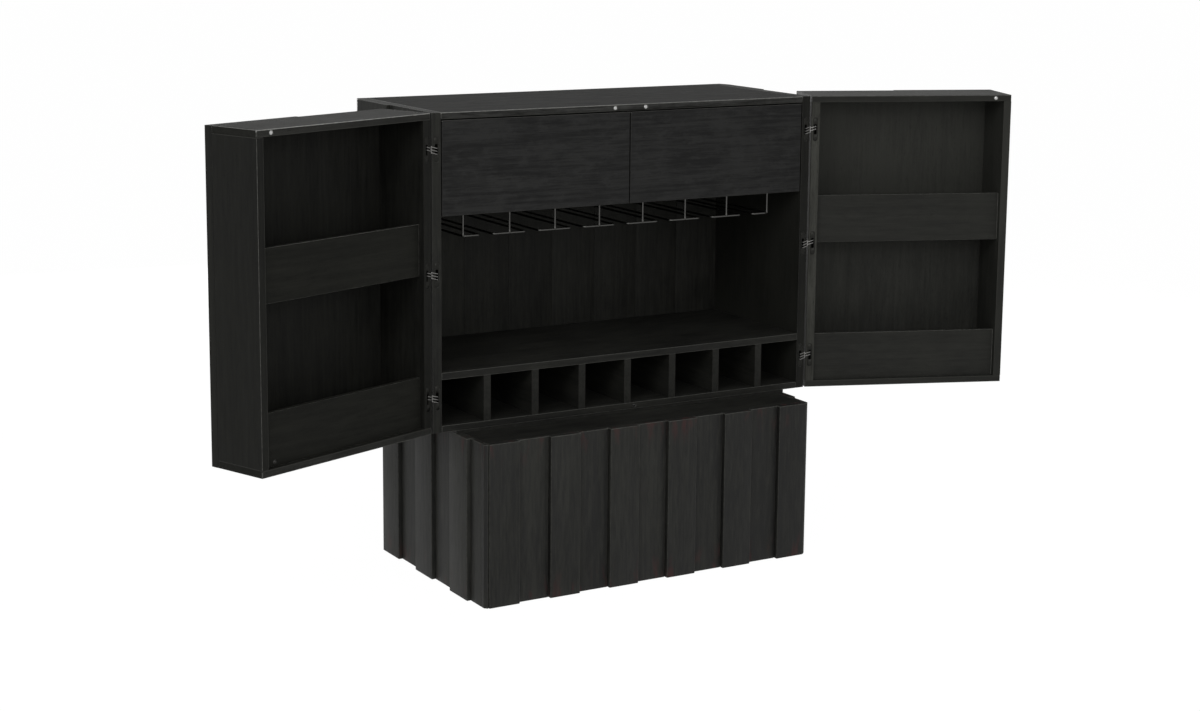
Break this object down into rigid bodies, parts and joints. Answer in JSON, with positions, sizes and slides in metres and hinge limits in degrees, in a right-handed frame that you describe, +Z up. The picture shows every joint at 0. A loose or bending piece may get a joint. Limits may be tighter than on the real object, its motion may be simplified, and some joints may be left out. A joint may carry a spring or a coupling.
{
  "type": "bar armoire",
  "caption": "Dark wooden drinks cabinet with deep box doors standing open, drawers over a hanging glass rack, a serving shelf above bottle cubbies, and a base clad in staggered planks.",
  "frame": {"origin": "on the floor, under the middle of the case's front plane", "axes": "+X to the right seen from the front, +Y from the front to the back, +Z up"},
  "size_m": [2.187, 0.6109, 1.162],
  "materials": {
    "stained_wood": "charcoal stain over open grain, satin",
    "inside_wood": "charcoal stain, satin",
    "plank_wood": "charcoal stain over brushed vertical grain, satin",
    "drawer_lining": "dark stain, matt",
    "rack_wire": "black, semi-gloss",
    "hinge_steel": "nickel plated",
    "runner_steel": "zinc plated",
    "catch_steel": "nickel plated"
  },
  "bodies": {
    "case": {"base_frame": "stained_wood", "base_front_planks": "plank_wood", "base_left_planks": "plank_wood", "base_right_planks": "plank_wood", "spacer_board": "inside_wood", "side_panel_left": "stained_wood", "side_panel_right": "stained_wood", "top_panel": "stained_wood", "bottom_panel": "stained_wood", "back_panel": "inside_wood", "case_catch_top_left": "catch_steel", "case_catch_top_right": "catch_steel", "case_catch_bottom": "catch_steel", "serving_shelf": "stained_wood", "cubby_divider_1": "inside_wood", "cubby_divider_2": "inside_wood", "cubby_divider_3": "inside_wood", "cubby_divider_4": "inside_wood", "cubby_divider_5": "inside_wood", "cubby_divider_6": "inside_wood", "cubby_divider_7": "inside_wood", "drawer_deck": "inside_wood", "glass_rack": "rack_wire", "case_left_hinge_bottom": "hinge_steel", "case_left_hinge_middle": "hinge_steel", "case_left_hinge_top": "hinge_steel", "case_right_hinge_bottom": "hinge_steel", "case_right_hinge_middle": "hinge_steel", "case_right_hinge_top": "hinge_steel"},
    "left_door": {"left_door_top_board": "stained_wood", "left_door_bottom_board": "stained_wood", "left_door_hinge_stile": "stained_wood", "left_door_free_stile": "stained_wood", "left_door_face": "stained_wood", "left_door_shelf": "inside_wood", "left_door_upper_rail": "stained_wood", "left_door_lower_rail": "stained_wood", "left_door_catch_top": "catch_steel", "left_door_catch_bottom": "catch_steel", "left_door_hinge_bottom": "hinge_steel", "left_door_hinge_middle": "hinge_steel", "left_door_hinge_top": "hinge_steel"},
    "right_door": {"right_door_top_board": "stained_wood", "right_door_bottom_board": "stained_wood", "right_door_hinge_stile": "stained_wood", "right_door_free_stile": "stained_wood", "right_door_face": "stained_wood", "right_door_shelf": "inside_wood", "right_door_upper_rail": "stained_wood", "right_door_lower_rail": "stained_wood", "right_door_catch_top": "catch_steel", "right_door_hinge_bottom": "hinge_steel", "right_door_hinge_middle": "hinge_steel", "right_door_hinge_top": "hinge_steel"},
    "left_runner": {"left_drawer_runner": "runner_steel"},
    "right_runner": {"right_drawer_runner": "runner_steel"},
    "left_drawer": {"left_drawer_front": "stained_wood", "left_drawer_tray": "drawer_lining"},
    "right_drawer": {"right_drawer_front": "stained_wood", "right_drawer_tray": "drawer_lining"}
  },
  "joints": [
    {"name": "left_door_hinge", "type": "hinge", "parent": "case", "child": "left_door", "pos_m": [-0.5355, -0.001, 0.7835], "axis": [0, 0, -1], "range_deg": [-159.2, 20]},
    {"name": "right_door_hinge", "type": "hinge", "parent": "case", "child": "right_door", "pos_m": [0.5355, -0.001, 0.7835], "axis": [0, 0, 1], "range_deg": [-159.2, 20]},
    {"name": "left_runner_slide", "type": "slide", "parent": "case", "child": "left_runner", "axis": [0, -1, 0], "range_m": [0, 0.15]},
    {"name": "left_drawer_slide", "type": "slide", "parent": "left_runner", "child": "left_drawer", "axis": [0, -1, 0], "range_m": [0, 0.15]},
    {"name": "right_runner_slide", "type": "slide", "parent": "case", "child": "right_runner", "axis": [0, -1, 0], "range_m": [0, 0.15]},
    {"name": "right_drawer_slide", "type": "slide", "parent": "right_runner", "child": "right_drawer", "axis": [0, -1, 0], "range_m": [0, 0.15]}
  ]
}
